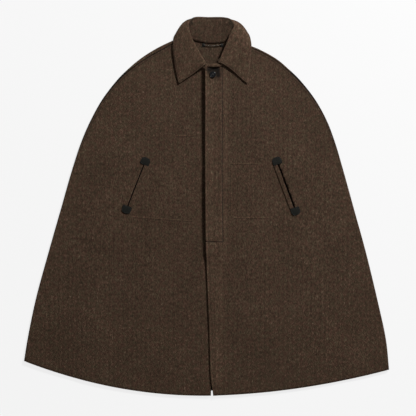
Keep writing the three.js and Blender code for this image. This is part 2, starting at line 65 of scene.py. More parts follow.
SHOULDER_SEAM = [  # share of the side, left, right
    (0, 4.8, 4.5), (0.025, 7.5, 4.5), (0.06, 10, 4.5), (0.12, 8, 4.5), (0.19, 3.6, 3.6),
    (0.27, 2, 2), (0.35, 0.7, 0.7), (0.42, 0, 0), (1, 0, 0),
]
SEAM_END = 0.42  # share of the side where the seam has come round to the outline
TOP_EDGE = [  # y, x, lift
    (396, -4.3, 2.6), (300, -4.3, 2.6), (157, -4.6, 1.2), (20, -4, 2), (-94, -2.6, 1.6),
    (-206, 1.4, 0.7), (-346, 7, 0.4), (-470, 11, 0.2), (-529.5, 18.5, 0.2),
]
UNDER_EDGE = dict(top_x=43.0, hem_x=12.2, above=134.0)  # its top end lies below the collar's top
FLY = dict(thickness=1.8, inset=3.0, reach=46.0, top_y=388.0, bottom_y=-99.0)
FLY_STITCH = 48.0  # the stitched line that holds the fly, in from the front edge
FLY_STITCH_TOP_Y = 384.0
FLY_FOOT_Y = -99.4
FOLDS = [  # x0, y0, x1, y1, width, height
    (-95, 330, -215, -440, 46, 1.1), (-190, 300, -360, -400, 52, 1.3), (-250, 180, -440, -330, 34, 0.9),
    (-60, 60, -95, -500, 38, 0.8), (120, 320, 170, -470, 48, 1), (210, 290, 330, -430, 56, 1.4),
    (290, 150, 430, -360, 36, 0.9), (95, 20, 85, -500, 36, 0.7),
]
SLITS = {
    "right": dict(x0=-170.7, y0=126.0, x1=-224.1, y1=-9.5, width=2.4),
    "left": dict(x0=196.1, y0=127.1, x1=248.8, y1=-14.0, width=3.6),
}
WELT = dict(width=11.0, thickness=1.6)
TAB = dict(width=26.5, length=21.5, thickness=1.8)
COLLAR = [  # neck seam x y z, roll x y z, fall x y z, edge x y z
    (-6, 398, 5, -1, 396.5, 15.2, -39, 368, 12.2, -78, 341.5, 8.4),
    (-40, 411.6, 5, -19, 427, 15.4, -56, 403, 13, -86, 378, 8.8),
    (-61, 436.4, 5, -36, 456, 15.4, -68, 437, 13.8, -91.5, 412, 9),
    (-68, 458, 5.4, -46, 481, 15, -73, 470, 13.8, -94.6, 450, 9.8),
    (-60, 475, 4.8, -50.5, 505, 12, -77, 495, 8.6, -87.5, 478, 5.2),
    (-38, 465.5, 4.2, -38, 525.2, 8.6, -54, 518.5, 3.2, -50, 478, 1.7),
    (4, 457, 4.2, 4, 527.9, 4.2, 4, 500, 1.7, 4, 463, 1.7),
    (53, 461.5, 4.2, 64, 523, 8.6, 79, 517, 3.2, 66, 474, 1.7),
    (67, 476, 4.8, 77.5, 505, 12, 104, 499, 8.6, 114, 483.5, 4.4),
    (70, 461, 5.4, 67, 482, 15, 104, 472, 13.6, 125, 455, 8.6),
    (65.5, 438, 5.4, 57, 456, 15.6, 94, 438, 13.8, 122.4, 412, 8),
    (52, 418, 7.8, 45, 427, 16, 85, 405, 13.4, 119, 377, 7.8),
    (38, 408, 9.8, 33, 402.5, 16.4, 73, 378, 13.4, 114, 342.5, 7.8),
]
COLLAR_SHAPING = [  # rows, columns and what is added to them
    ([0, 11, 12], 8, (-1.6, -2.6, -4.2)),  # the leaves lie down between the roll and the tip
    (12, slice(3, 5), (0.5, -4.5)),  # the inner corner of the leaf on the right hangs to the band
    ([10, 11, 12], 0, (-3, -9, -7)),  # its stand leans in, so that it closes the neck behind
    (12, slice(6, 8), (0.8, 2.4)),  # the middle of its lower edge is a little fuller
]
LEAF_BEND = dict(high=3.4, way=(0.5, 0.86), power=1.15, from_share=0.88)  # the same leaf's lower edge
ROLL_TURN = dict(length=3.4, spread=2.1, flat_middle=0.07, change=0.16, under=0.4)
BAND = dict(x0=-14.0, x1=50.0, y=392.5, rise=3.0, depth=8.5, z=15.2, thickness=2.4)
CHAIN = dict(x0=-8.0, x1=43.0, y=451.5, sag=3.0, height=4.8)
LINK = dict(count=15, half_length=2.5, half_width=1.05, wire=0.36, on_edge=(0, 0.15, 0.84))
CHAIN_END = dict(width=8.0, low_y=446.0, high_y=455.5, thickness=0.8)
BUTTON = dict(x=17.2, y=367.6, radius=9.0, hole_offset=1.9, hole_radius=1.0)
BUTTON_PROFILE = [  # share of the radius, height
    (0, 0), (0.86, 0), (0.96, 0.35), (1, 0.9), (1, 1.7), (0.985, 2.3), (0.94, 2.8), (0.88, 3.1),
    (0.8, 3.2), (0.73, 3.1), (0.68, 2.7), (0.62, 2.35), (0.45, 2.0), (0, 1.7),
]
TAB_PROFILE = [  # share of the outline, share of the thickness
    (1.0, 0.0), (1.0, 0.55), (0.985, 0.85), (0.955, 0.98), (0.9, 1.0), (0.84, 0.9), (0.8, 0.86),
    (0.74, 0.95), (0.55, 1.04), (0.3, 1.08),
]
TAB_SEWING = dict(length=1.9, gap=0.8, radius=0.24, sink=0.02)
TAB_SEWN_AT = dict(share=0.82, thickness=0.88, over=0.09)  # share of the outline, height
THREAD = dict(radius=0.3, aside=0.35, low=1.6, rise=1.15)  # through the button's holes
STITCH_PROFILE = [  # share of the length, share of the radius
    (0, 0.35), (0.18, 0.85), (0.5, 1), (0.82, 0.85), (1, 0.35),
]

# Each front is named for the wearer's side and lies on the other side of the picture
PICTURE_SIDE = {"right": "left", "left": "right"}

# Faint ridges where the pocket bags inside press through the fronts, raised by bump and also painted
# lighter as a highlight, with painted shade beside them: x, y to x, y
POCKET_LINES = {
    ("right", "across"): [(-214, -28.5, -41, -41), (-88, 198, -34, 198)],
    ("right", "down"): [],
    ("left", "across"): [(62, 120, 146, 118.5), (71, -31, 178, -31.5)],
    ("left", "down"): [(70, 116, 70, -29)],
}
NECK_SHADOW_PATH = [(6, 381), (31, 382), (31.5, 365)]  # path of a painted shadow on the front, above and beside the button, where the collar stand's front end casts it
NECK_SHADE = 0.5  # painted shade, stored on the back inside the neck, where it is a little darker
SHADE_UNDER_FRONTS = dict(top_y=378.0, half_width=300.0)  # painted shade on the back's inside, under the fronts, so that the slits show dark
FAR = 60.0  # stored where a line doesn't reach


def lerp(a, b, t):
    return a + (b - a) * t


def smooth(t):
    c = np.clip(t, 0, 1)
    return c * c * (3 - 2 * c)


def unit(a):
    return a / np.maximum(np.linalg.norm(a, axis=-1, keepdims=True), 1e-9)


def hump(x, width):
    """1 at 0, falling softly to 0 on both sides."""
    return np.exp(-((x / width) ** 2))


def plateau(u, share):
    """0 at both ends, 1 between them, with softly rounded steps over a share at each end."""
    return float(smooth(u / share) * smooth((1 - u) / share))


def beside(line, x, y):
    """Share along a line x0, y0, x1, y1 and distance to its left."""
    x0, y0, x1, y1 = line
    dx, dy = x1 - x0, y1 - y0
    length = math.hypot(dx, dy)
    along = ((x - x0) * dx + (y - y0) * dy) / length**2
    return along, ((y - y0) * dx - (x - x0) * dy) / length


def column(rows, which):
    """A smooth curve through one column of a table, read at any value of its first column."""
    rows = sorted(rows)
    key = np.array([r[0] for r in rows], float)
    val = np.array([r[which] for r in rows], float)
    slope = np.empty_like(val)
    slope[1:-1] = (val[2:] - val[:-2]) / (key[2:] - key[:-2])
    slope[0] = (val[1] - val[0]) / (key[1] - key[0])
    slope[-1] = (val[-1] - val[-2]) / (key[-1] - key[-2])

    def read(at):
        at = np.clip(np.asarray(at, float), key[0], key[-1])
        i = np.clip(np.searchsorted(key, at) - 1, 0, len(key) - 2)
        span = key[i + 1] - key[i]
        t = (at - key[i]) / span
        t2, t3 = t * t, t * t * t
        return (
            (2 * t3 - 3 * t2 + 1) * val[i] + (t3 - 2 * t2 + t) * span * slope[i]
            + (3 * t2 - 2 * t3) * val[i + 1] + (t3 - t2) * span * slope[i + 1]
        )

    return read


def spline(points, t):
    """A centripetal spline through points, read at shares t of its stretches."""
    p = np.asarray(points, float)
    full = np.vstack([2 * p[0] - p[1], p, 2 * p[-1] - p[-2]])
    at = np.clip(np.asarray(t, float), 0, 1) * (len(p) - 1)
    i = np.minimum(at.astype(int), len(p) - 2)
    w = (at - i)[:, None]
    a, b, c, d = full[i], full[i + 1], full[i + 2], full[i + 3]
    gap = lambda m, n: np.maximum(np.sqrt(np.linalg.norm(n - m, axis=1)), 1e-4)[:, None]
    d0, d1, d2 = gap(a, b), gap(b, c), gap(c, d)
    t1 = ((b - a) / d0 - (c - a) / (d0 + d1) + (c - b) / d1) * d1
    t2 = ((c - b) / d1 - (d - b) / (d1 + d2) + (d - c) / d2) * d1
    return b + t1 * w + (-3 * b + 3 * c - 2 * t1 - t2) * w**2 + (2 * b - 2 * c + t1 + t2) * w**3


class Side:
    """Outline of one side, from the neck point (0) to the hem corner (1)."""

    def __init__(self, side):
        sign = -1 if side == "left" else 1
        which = 1 if side == "left" else 2
        points = [(NECK["x"] + sign * NECK["half_width"], NECK["y"] + NECK_RISE)]
        points += [(sign * (row[which] - CLOTH / 2), row[0]) for row in SILHOUETTE]
        points += [(sign * (HALF_WIDTH - CLOTH / 2), CORNER_Y[side])]
        self.line = spline(points, np.linspace(0, 1, 3000))
        steps = np.linalg.norm(np.diff(self.line, axis=0), axis=1)
        self.share = np.concatenate([[0], np.cumsum(steps)]) / steps.sum()
        self.inward_sign = 1 if side == "left" else -1

    def point(self, v):
        return np.array([np.interp(v, self.share, self.line[:, k]) for k in (0, 1)])

    def inward(self, v):
        x, y = unit(self.point(min(1, v + 1e-3)) - self.point(max(0, v - 1e-3)))
        return np.array([-y, x]) * self.inward_sign


SIDE = {"left": Side("left"), "right": Side("right")}
top_edge_x = column(TOP_EDGE, 1)
top_edge_lift = column(TOP_EDGE, 2)
seam_in = {"left": column(SHOULDER_SEAM, 1), "right": column(SHOULDER_SEAM, 2)}

SWELL = dict(count=26, shortest=38, longest=170, height=0.055, lift=0.32, lengthwise=0.35)


def swells():
    """Waves of many lengths, a third of them running up the cloth, the rest across it."""
    rng = np.random.default_rng(11)
    waves = []
    for _ in range(SWELL["count"]):
        length = rng.uniform(SWELL["shortest"], SWELL["longest"])
        lengthwise = rng.random() < SWELL["lengthwise"]
        angle = rng.normal(math.pi / 2, 0.55) if lengthwise else rng.normal(0, 0.5)
        turns = 2 * math.pi / length
        phase = rng.uniform(0, 2 * math.pi)
        high = SWELL["height"] * (length / 100) ** 0.7
        waves.append((math.cos(angle) * turns, math.sin(angle) * turns, phase, high))
    return waves


WAVES = swells()


def uneven(x, y):
    """Small hollows and swells that laid cloth keeps, never below the plain surface."""
    z = SWELL["lift"]
    for kx, ky, phase, high in WAVES:
        z = z + high * np.sin(kx * x + ky * y + phase)
    return np.maximum(z, 0)


def fold_height(x, y):
    z = 0
    for *line, width, height in FOLDS:
        along, off = beside(line, x, y)
        z = z + height * hump(off, width) * smooth(along / 0.3) * smooth((1.12 - along) / 0.25)
    return z


EDGE_FADE = 45.0  # over which the soft side edge's extra height is lost
FLAT_RIM = 70.0  # over which the folds and swells begin


def front_middle(x, y, in_from_edge):
    """Height of a front's middle where nothing lies under it but the back."""
    near_edge = (EDGE_ROLL - 2 * CLOTH - REST_GAP) * np.exp(-in_from_edge / EDGE_FADE)
    folds = (fold_height(x, y) + uneven(x, y)) * smooth(in_from_edge / FLAT_RIM)
    return 1.5 * CLOTH + REST_GAP + near_edge + folds


def under_edge_x(y):
    up = (y + HALF_LENGTH) / (2 * HALF_LENGTH - UNDER_EDGE["above"])
    return lerp(UNDER_EDGE["hem_x"], UNDER_EDGE["top_x"], up)


OVERLAP_RAMP = dict(clear=3, length=26, start=9)  # how the top front comes down beside the one below


def overlap_lift(x, y):
    overlap = under_edge_x(y) - top_edge_x(y)
    across = 1 - smooth((x - under_edge_x(y) - OVERLAP_RAMP["clear"]) / OVERLAP_RAMP["length"])
    return (CLOTH + REST_GAP) * across * smooth(overlap / OVERLAP_RAMP["start"] + 1)


FLY_RAMP = dict(clear=2, length=14, foot_below=60, foot_length=40)


def fly_lift(x, y):
    across = 1 - smooth((x - top_edge_x(y) - FLY["reach"] - FLY_RAMP["clear"]) / FLY_RAMP["length"])
    down = smooth((y - FLY["bottom_y"] + FLY_RAMP["foot_below"]) / FLY_RAMP["foot_length"])
    return (FLY["thickness"] + REST_GAP) * across * down


EDGE_LIFT_FADE = 14.0


def edge_lift(x, y):
    return top_edge_lift(y) * np.exp(-np.maximum(0, x - top_edge_x(y)) / EDGE_LIFT_FADE)


EDGE_STAND = dict(low=0.9, more=1.8, rise_y=-190, rise=130, dip=1.0, dip_y=132, dip_length=26, reach=13)


def edge_stand(x, y):
    """How far the top front's edge stands off the front below it: more above, less at one dip."""
    e = EDGE_STAND
    high = e["low"] + e["more"] * smooth((y - e["rise_y"]) / e["rise"])
    high = high - e["dip"] * hump(y - e["dip_y"], e["dip_length"])
    return high * hump(x - top_edge_x(y), e["reach"])


GROOVE = dict(half_width=1.7, depth=0.65, end=3)


def stitch_groove(x, y):
    """The cloth is drawn down along the fly's stitching."""
    off = x - top_edge_x(y) - FLY_STITCH
    side = hump(off, GROOVE["half_width"]) * smooth((y - FLY_FOOT_Y + 1) / GROOVE["end"])
    foot = hump(y - FLY_FOOT_Y, GROOVE["half_width"]) * smooth((1 - off) / GROOVE["end"])
    return -GROOVE["depth"] * np.maximum(side, foot)


def lapped_lift(x, y):
    """What lifts the top front over the other front and the fly, and stands its edge up."""
    return overlap_lift(x, y) + fly_lift(x, y) + edge_lift(x, y) + edge_stand(x, y)


FAR_IN = 120.0  # far enough from the side edge for it to have no effect


def front_top(side, x, y):
    """Height of a front's upper face away from its side edge."""
    z = front_middle(x, y, FAR_IN) + CLOTH / 2
    return z + lapped_lift(x, y) if side == "right" else z


MIDDLE_RADIUS = (EDGE_ROLL - CLOTH) / 2
QUARTER = math.pi / 2 * MIDDLE_RADIUS


def on_side(side, v, length):
    """The cloth's middle at a length along it from the outline, and the way it faces."""
    angle = min(abs(length) / MIDDLE_RADIUS, math.pi / 2)
    inwards = MIDDLE_RADIUS * (1 - math.cos(angle)) + max(0, abs(length) - QUARTER)
    inward = SIDE[side].inward(v)
    p = SIDE[side].point(v) + inward * inwards
    z = EDGE_ROLL / 2 + np.sign(length) * MIDDLE_RADIUS * math.sin(angle)
    if length > QUARTER:
        z = front_middle(p[0], p[1], inwards)
    level = -inward * math.cos(angle)
    faces = (level[0], level[1], np.sign(length) * math.sin(angle))
    return (p[0], p[1], float(z)), faces


def bow(a, b, sag, t):
    """A point between two, on a curve that hangs below the line between them."""
    return np.array([lerp(a[0], b[0], t), lerp(a[1], b[1], t) - 4 * sag * t * (1 - t)])


def patch(first, last, start, end):
    """The surface between two lines that run down it and two that run across it."""
    def at(u, v):
        p = first(v) * (1 - u) + last(v) * u
        q = start(u) * (1 - v) + end(u) * v
        corners = (first(0) * (1 - u) * (1 - v) + last(0) * u * (1 - v)
                   + first(1) * (1 - u) * v + last(1) * u * v)
        return p + q - corners
    return at


SIDE_TURN_POINTS = 9  # of a front's row, round its side edge
NEAR_EDGE = [  # distances from the front edge at which each row has a point
    90, 84, 78, 72, 66, 60, 55, 51.5, 49.8, 48.7, 48, 47.3, 46.2, 44, 41.5, 39, 36.5, 34, 31, 28,
    25, 22, 17, 12, 8, 5, 3, 1.5, 0,
]
FOOT_ROWS = (-3, -1.5, -0.7, 0, 0.7, 1.5, 3)  # beside the foot of the fly's stitching
HEM_ROWS = (1.2, 2.6, 4)  # above the hem


def row_shares(rows):
    """Shares down a panel, closer together near the neck."""
    return [lerp(i / rows, (i / rows) ** 1.25, 0.6) for i in range(rows + 1)]


def front_grid(side, rows=150):
    """Middle points of a front, row by row from the neck, and the way its side edge faces."""
    top = side == "right"
    outline = SIDE[side]
    edge_x = top_edge_x if top else under_edge_x
    hem_end = np.array([float(top_edge_x(-HALF_LENGTH)) if top else UNDER_EDGE["hem_x"], -HALF_LENGTH])
    neck_end_x = float(top_edge_x(HALF_LENGTH)) if top else UNDER_EDGE["top_x"]
    start = NECK["half_width"] * (1 if top else -1)
    turn = math.acos((neck_end_x - NECK["x"]) / start)

    def neck(u):
        a = turn * u
        drop = NECK["front_depth"] * math.sin(a)
        return np.array([NECK["x"] + start * math.cos(a), NECK["y"] + NECK_RISE * (1 - u) - drop])

    def hem(u):
        return bow(outline.point(1), hem_end, HEM_SAG[side], u)

    def front_edge(v):
        y = lerp(neck(1)[1], hem_end[1], v)
        x = neck(1)[0] if v == 0 else hem_end[0] if v == 1 else float(edge_x(y))
        return np.array([x, y])

    surface = patch(outline.point, front_edge, neck, hem)
    long = neck(1)[1] - hem_end[1]
    steps = row_shares(rows) + [1 - mm / long for mm in HEM_ROWS]
    if top:
        steps += [(neck(1)[1] - FLY_FOOT_Y + mm) / long for mm in FOOT_ROWS]
    grid, faces = [], []
    for v in sorted(set(steps)):
        length = np.linalg.norm(surface(0.1, v) - surface(0, v)) * 10
        across = np.linalg.norm(surface(1, v) - surface(0, v))
        seam = float(seam_in[side](v)) + SEAM_GAP * 0.6
        last = max(seam + 1, QUARTER + 0.2)
        turned = [on_side(side, v, d) for d in np.linspace(seam, last, SIDE_TURN_POINTS)]
        row = [p for p, _ in turned]
        facing = [f for _, f in turned]
        band = min(NEAR_EDGE[0] / across, 0.5)
        us = [lerp(last / length, 1 - band, u) for u in np.linspace(0.01, 1, 58)]
        us += [1 - band * d / NEAR_EDGE[0] for d in NEAR_EDGE[1:]]
        for u in us:
            x, y = surface(u, v)
            row.append((x, y, u * length))
            facing.append((0, 0, 0))
        grid.append(row)
        faces.append(facing)
    grid, faces = np.array(grid), np.array(faces)
    x, y, in_from_edge = np.moveaxis(grid[:, SIDE_TURN_POINTS:], 2, 0)
    z = front_middle(x, y, in_from_edge)
    if top:
        z = z + lapped_lift(x, y) + stitch_groove(x, y)
    grid[:, SIDE_TURN_POINTS:, 2] = z
    return grid, faces


def back_grid(rows=130):
    """Middle points of the back, whose sides turn up and over to the seams on the fronts."""
    left, right = SIDE["left"], SIDE["right"]

    def neck(u):
        x, y = lerp(left.point(0), right.point(0), u)
        low = NECK["back_low_y"] + NECK["back_curve"] * (x - NECK["back_low_x"]) ** 2
        y = lerp(y, low, plateau(u, 0.16))
        tongues = sum(long * hump(x - at, wide) for at, long, wide in NECK_TONGUES)
        return np.array([x, y + tongues * plateau(u, 0.05)])

    def hem(u):
        return bow(left.point(1), right.point(1), BACK_HEM_SAG, u)

    def turned(side, v):
        seam = float(seam_in[side](v)) - SEAM_GAP * 0.6
        over = 3 if seam > QUARTER else 0
        turns = 18 - over
        lengths = [lerp(seam, QUARTER, k / over) for k in range(over)]
        lengths += [lerp(min(seam, QUARTER), -QUARTER, k / turns) for k in range(turns + 1)]
        return [on_side(side, v, length) for length in lengths]

    surface = patch(left.point, right.point, neck, hem)
    grid = []
    for v in row_shares(rows):
        flat = [((*surface(u, v), CLOTH / 2), (0, 0, 0)) for u in np.linspace(0.012, 0.988, 90)]
        grid.append(turned("left", v) + flat + turned("right", v)[::-1])
    grid = np.array(grid)
    return grid[:, :, 0], grid[:, :, 1]


COLLAR_ACROSS = np.concatenate(
    [np.linspace(0, 0.34, 12)[:-1], np.linspace(0.34, 0.62, 29)[:-1], np.linspace(0.62, 1, 18)])


def collar_grid(around=150):
    """Middle points of the collar, each row a section from the neck seam over the roll."""
    table = np.array(COLLAR, float)
    for rows, columns, change in COLLAR_SHAPING:
        table[rows, columns] += change
    t = np.linspace(0, 1, around + 1)
    lines = [spline(table[:, k:k + 3], t) for k in (0, 3, 6, 9)]
    outwards = np.clip((COLLAR_ACROSS - 0.5) / 0.5, 0, 1)
    leaf_wave = LEAF_BEND["high"] * np.sin(2 * math.pi * outwards**LEAF_BEND["power"])
    grid = []
    for share, n, r, f, e in zip(t, *lines):
        aside = (abs(share - 0.5) - ROLL_TURN["flat_middle"]) / ROLL_TURN["change"]
        stand_over = 1 - 2 * float(smooth(aside))
        spread = ROLL_TURN["spread"] * stand_over
        before, after = (r + unit(end - r) * ROLL_TURN["length"] for end in (n, f))
        before[2] = r[2] + spread
        after[2] = r[2] - spread * (1 if stand_over > 0 else ROLL_TURN["under"])
        stand = (n + before) / 2
        stand[2] += 0.4
        section = spline([n, stand, before, r, after, f, e], COLLAR_ACROSS)
        on_leaf = float(smooth((share - LEAF_BEND["from_share"]) / (1 - LEAF_BEND["from_share"])))
        section[:, :2] += np.outer(leaf_wave * on_leaf, LEAF_BEND["way"])
        grid.append(section)
    return np.array(grid)


def hem_y(x, wearer):
    """Height of a front's hem under a point."""
    side = PICTURE_SIDE[wearer]
    a = SIDE[side].point(1)
    end_x = UNDER_EDGE["hem_x"] if wearer == "right" else float(top_edge_x(-HALF_LENGTH))
    t = np.clip((x - a[0]) / (end_x - a[0]), 0, 1)
    return bow(a, (end_x, -HALF_LENGTH), HEM_SAG[side], t)[1]


def mark(piece, name, values):
    """Stores a distance in millimetres at each vertex, for lines that the material draws."""
    field = piece.data.attributes.new(name, "FLOAT", "POINT")
    field.data.foreach_set("value", np.asarray(values, np.float32))


def places_of(piece):
    flat = np.empty(3 * len(piece.data.vertices), np.float32)
    piece.data.vertices.foreach_get("co", flat)
    return flat.reshape(-1, 3).astype(float) / MM


def from_pocket_lines(wearer, way, place):
    """Signed distance from the nearest of a front's pocket lines, or FAR."""
    value = np.full(len(place), FAR)
    x, y, z = place.T
    for line in POCKET_LINES[wearer, way]:
        along, off = beside(line, x, y)
        near = (np.abs(off) < 20) & (along > 0) & (along < 1) & (z > 4)
        value[near] = off[near]
    return value


def from_path(path, x, y):
    """Distance from a line through points."""
    near = np.full(len(x), FAR)
    for (x0, y0), (x1, y1) in zip(path, path[1:]):
        t = np.clip(beside((x0, y0, x1, y1), x, y)[0], 0, 1)
        near = np.minimum(near, np.hypot(x - lerp(x0, x1, t), y - lerp(y0, y1, t)))
    return near


def side_share(side, x, y):
    """Nearest distance from the side's outline, in millimetres, and the share along it."""
    line, share = SIDE[side].line[::6], SIDE[side].share[::6]
    near, at = np.empty(len(x)), np.empty(len(x))
    for start in range(0, len(x), 4000):  # part by part, to keep the table of distances small
        part = slice(start, start + 4000)
        d = np.hypot(x[part, None] - line[:, 0], y[part, None] - line[:, 1])
        near[part] = d.min(axis=1)
        at[part] = share[d.argmin(axis=1)]
    return near, at


# Meshes
def add(name, data):
    """A new object in the scene, with its data."""
    made = bpy.data.objects.new(name, data)
    bpy.context.scene.collection.objects.link(made)
    return made


def volume_of(verts, faces):
    """Six times the space that faces close in, below zero where they face inwards."""
    corners = np.array([(f[0], b, c) for f in faces for b, c in zip(f[1:], f[2:])])
    a, b, c = (verts[corners[:, k]] for k in range(3))
    return np.sum(a * np.cross(b, c))


def new_object(name, verts, faces, smooth_angle=40):
    """A closed mesh given in millimetres, with its faces turned outwards."""
    verts = np.asarray(verts, float)
    if volume_of(verts, faces) < 0:
        faces = [tuple(reversed(f)) for f in faces]
    mesh = bpy.data.meshes.new(name)
    mesh.from_pydata((verts * MM).tolist(), [], faces)
    mesh.validate()
    mesh.update()
    mesh.polygons.foreach_set("use_smooth", [True] * len(mesh.polygons))
    mesh.set_sharp_from_angle(angle=math.radians(smooth_angle))
    return add(name, mesh)


def ring_faces(first, rings, count, closed=False):
    """Faces between rings of count points each, which follow each other from a first point on."""
    faces = []
    for r in range(rings if closed else rings - 1):
        a, b = first + r * count, first + (r + 1) % rings * count
        faces += [(a + k, a + (k + 1) % count, b + (k + 1) % count, b + k) for k in range(count)]
    return faces


def prism(outline, low, high):
    """An upright block over an outline, to cut with."""
    count = len(outline)
    verts = [(x, y, z) for z in (low, high) for x, y in outline]
    ends = [tuple(range(count - 1, -1, -1)), tuple(range(count, 2 * count))]
    return new_object("cutter", verts, ends + ring_faces(0, 2, count))


RIM_TURNS = (30, 0, -30)  # degrees at which the rounded cut edge has points


def cloth_wall(name, grid, thickness, faces=None):
    """A closed wall round a grid of middle points, with its cut edges rounded."""
    rows, cols = grid.shape[:2]
    down = np.gradient(grid, axis=0, edge_order=2)
    along = np.gradient(grid, axis=1, edge_order=2)
    n = unit(np.cross(down, along))
    if faces is not None:
        given = np.linalg.norm(faces, axis=2) > 0.5
        sign = np.sign(np.sum(n * faces, axis=2))
        sign[sign == 0] = 1
        n[given] = (faces * sign[..., None])[given]
    out = np.zeros_like(grid)
    out[0] -= unit(down[0])
    out[-1] += unit(down[-1])
    out[:, 0] -= unit(along[:, 0])
    out[:, -1] += unit(along[:, -1])
    half = thickness / 2
    inset = 0.7 * half
    verts = [(grid + n * h - out * inset).reshape(-1, 3) for h in (half, -half)]
    under = rows * cols
    at = np.arange(under).reshape(rows, cols)
    upper = np.stack([at[:-1, :-1], at[1:, :-1], at[1:, 1:], at[:-1, 1:]], axis=-1).reshape(-1, 4)
    lower = under + upper[:, [0, 3, 2, 1]]
    rim = np.concatenate([at[0], at[1:, -1], at[-1, -2::-1], at[-2:0:-1, 0]])
    middle, normal, outward = (a.reshape(-1, 3)[rim] for a in (grid, n, out))
    count = len(rim)
    rings = [rim]
    for turn in np.radians(RIM_TURNS):
        rise = half * math.sin(turn) / math.sin(math.radians(55)) * 0.9
        verts.append(middle + normal * rise - outward * inset * (1 - math.cos(turn)))
        rings.append(2 * under + (len(rings) - 1) * count + np.arange(count))
    rings.append(under + rim)
    sides = [np.stack([a, np.roll(a, -1), np.roll(b, -1), b], axis=1) for a, b in zip(rings, rings[1:])]
    return new_object(name, np.vstack(verts), np.vstack([upper, lower, *sides]).tolist(), 70)


def cut(piece, cutter):
    """Takes the cutter's space out of a piece, and keeps the result as its mesh."""
    modifier = piece.modifiers.new("cut", "BOOLEAN")
    modifier.operation = "DIFFERENCE"
    modifier.solver = "MANIFOLD"
    modifier.object = cutter
    evaluated = piece.evaluated_get(bpy.context.evaluated_depsgraph_get())
    mesh = bpy.data.meshes.new_from_object(evaluated)
    piece.modifiers.remove(modifier)
    old = piece.data
    piece.data = mesh
    bpy.data.meshes.remove(old)
    bpy.data.objects.remove(cutter, do_unlink=True)


def slit_ends(slit):
    """Both ends of a slit and the way down it."""
    a, b = np.array([slit["x0"], slit["y0"]]), np.array([slit["x1"], slit["y1"]])
    return a, b, unit(b - a)


def along_slit(slit, share, across):
    """A point beside a slit: share of its length from the top, and mm towards the front edge."""
    a, b, down = slit_ends(slit)
    towards = np.array([-down[1], down[0]]) * (1 if slit["x0"] < 0 else -1)
    return a + (b - a) * share + towards * across


def slit_cutter(slit, steps=24):
    """A long lens, widest at its middle, right through the cloth."""
    rim = []
    for side, shares in ((-1, np.linspace(0, 1, steps + 1)), (1, np.linspace(1, 0, steps + 1))):
        for s in shares:
            half = slit["width"] * (0.7 + 0.16 * math.sin(math.pi * s))
            rim.append(along_slit(slit, lerp(0.05, 0.95, s), side * half))
    return prism(rim, -5, 30)


def welt_grid(slit, side):
    """Middle points of the strip beside a slit, a little domed, between its tabs."""
    a, b, _ = slit_ends(slit)
    clear = (TAB["length"] / 2 + 0.5) / np.linalg.norm(b - a)
    grid = []
    for share in np.linspace(clear, 1 - clear, 61):
        row = []
        for over in np.linspace(0, 1, 11):
            x, y = along_slit(slit, share, slit["width"] / 2 + WELT["width"] * over)
            crown = 0.25 * (math.sin(math.pi * over) - 1)
            row.append((x, y, front_top(side, x, y) + SEAM_GAP + WELT["thickness"] / 2 + crown))
        grid.append(row)
    return np.array(grid, float)


def fly_grid():
    """Middle points of the hidden strip, which hangs under the top front."""
    grid = []
    for y in np.linspace(FLY["top_y"], FLY["bottom_y"], 121):
        x = float(top_edge_x(y)) + np.linspace(FLY["inset"], FLY["reach"], 14)
        z = front_top("right", x, y) - CLOTH - SEAM_GAP - FLY["thickness"] / 2
        grid.append(np.stack([x, np.full(len(x), y), z], axis=1))
    return np.array(grid)


def tab_outline(slit, end, count=64):
    """Even points round a tab, square towards the slit and round away from it."""
    a, b, down = slit_ends(slit)
    centre, outwards = (a, -down) if end == "upper" else (b, down)
    across = np.array([-outwards[1], outwards[0]])
    w, half = TAB["width"] / 2, TAB["length"] / 2
    inner = 3.0 - half  # where the corners of 3 mm radius end
    side = w - 3.0
    right = [
        [(side, -half), (w, -half), (w, inner)],
        [(w, inner), (w, 0)],
        [(w, 0), (w, half * 0.75), (w * 0.6, half), (0, half)],
    ]
    left = [[(-x, y) for x, y in reversed(control)] for control in reversed(right)]
    points = [np.array([-side, -half])]
    for control in [[(-side, -half), (side, -half)], *right, *left]:
        for t in np.linspace(0, 1, 10)[1:]:
            q = np.array(control, float)
            while len(q) > 1:
                q = lerp(q[:-1], q[1:], t)
            points.append(q[0])
    p = np.array(points)
    steps = np.linalg.norm(np.diff(p, axis=0), axis=1)
    share = np.concatenate([[0], np.cumsum(steps)]) / steps.sum()
    even = np.linspace(0, 1, count + 1)[:-1]
    x, y = (np.interp(even, share, p[:, k]) for k in (0, 1))
    return centre + np.outer(x, across) + np.outer(y, outwards)


def tab_object(name, slit, side, end):
    """A small domed leather patch with a rolled rim, following the cloth below."""
    outline = tab_outline(slit, end)
    middle = outline.mean(axis=0)
    verts = []
    for share, high in TAB_PROFILE:
        for x, y in lerp(middle, outline, share):
            verts.append((x, y, front_top(side, x, y) + SEAM_GAP * 0.3 + TAB["thickness"] * high))
    verts.append((*middle, front_top(side, *middle) + TAB["thickness"] * 1.1))
    count = len(outline)
    last = (len(TAB_PROFILE) - 1) * count
    faces = ring_faces(0, len(TAB_PROFILE), count)
    faces += [(last + k, last + (k + 1) % count, len(verts) - 1) for k in range(count)]
    faces.append(tuple(reversed(range(count))))
    return new_object(name, verts, faces, 60)


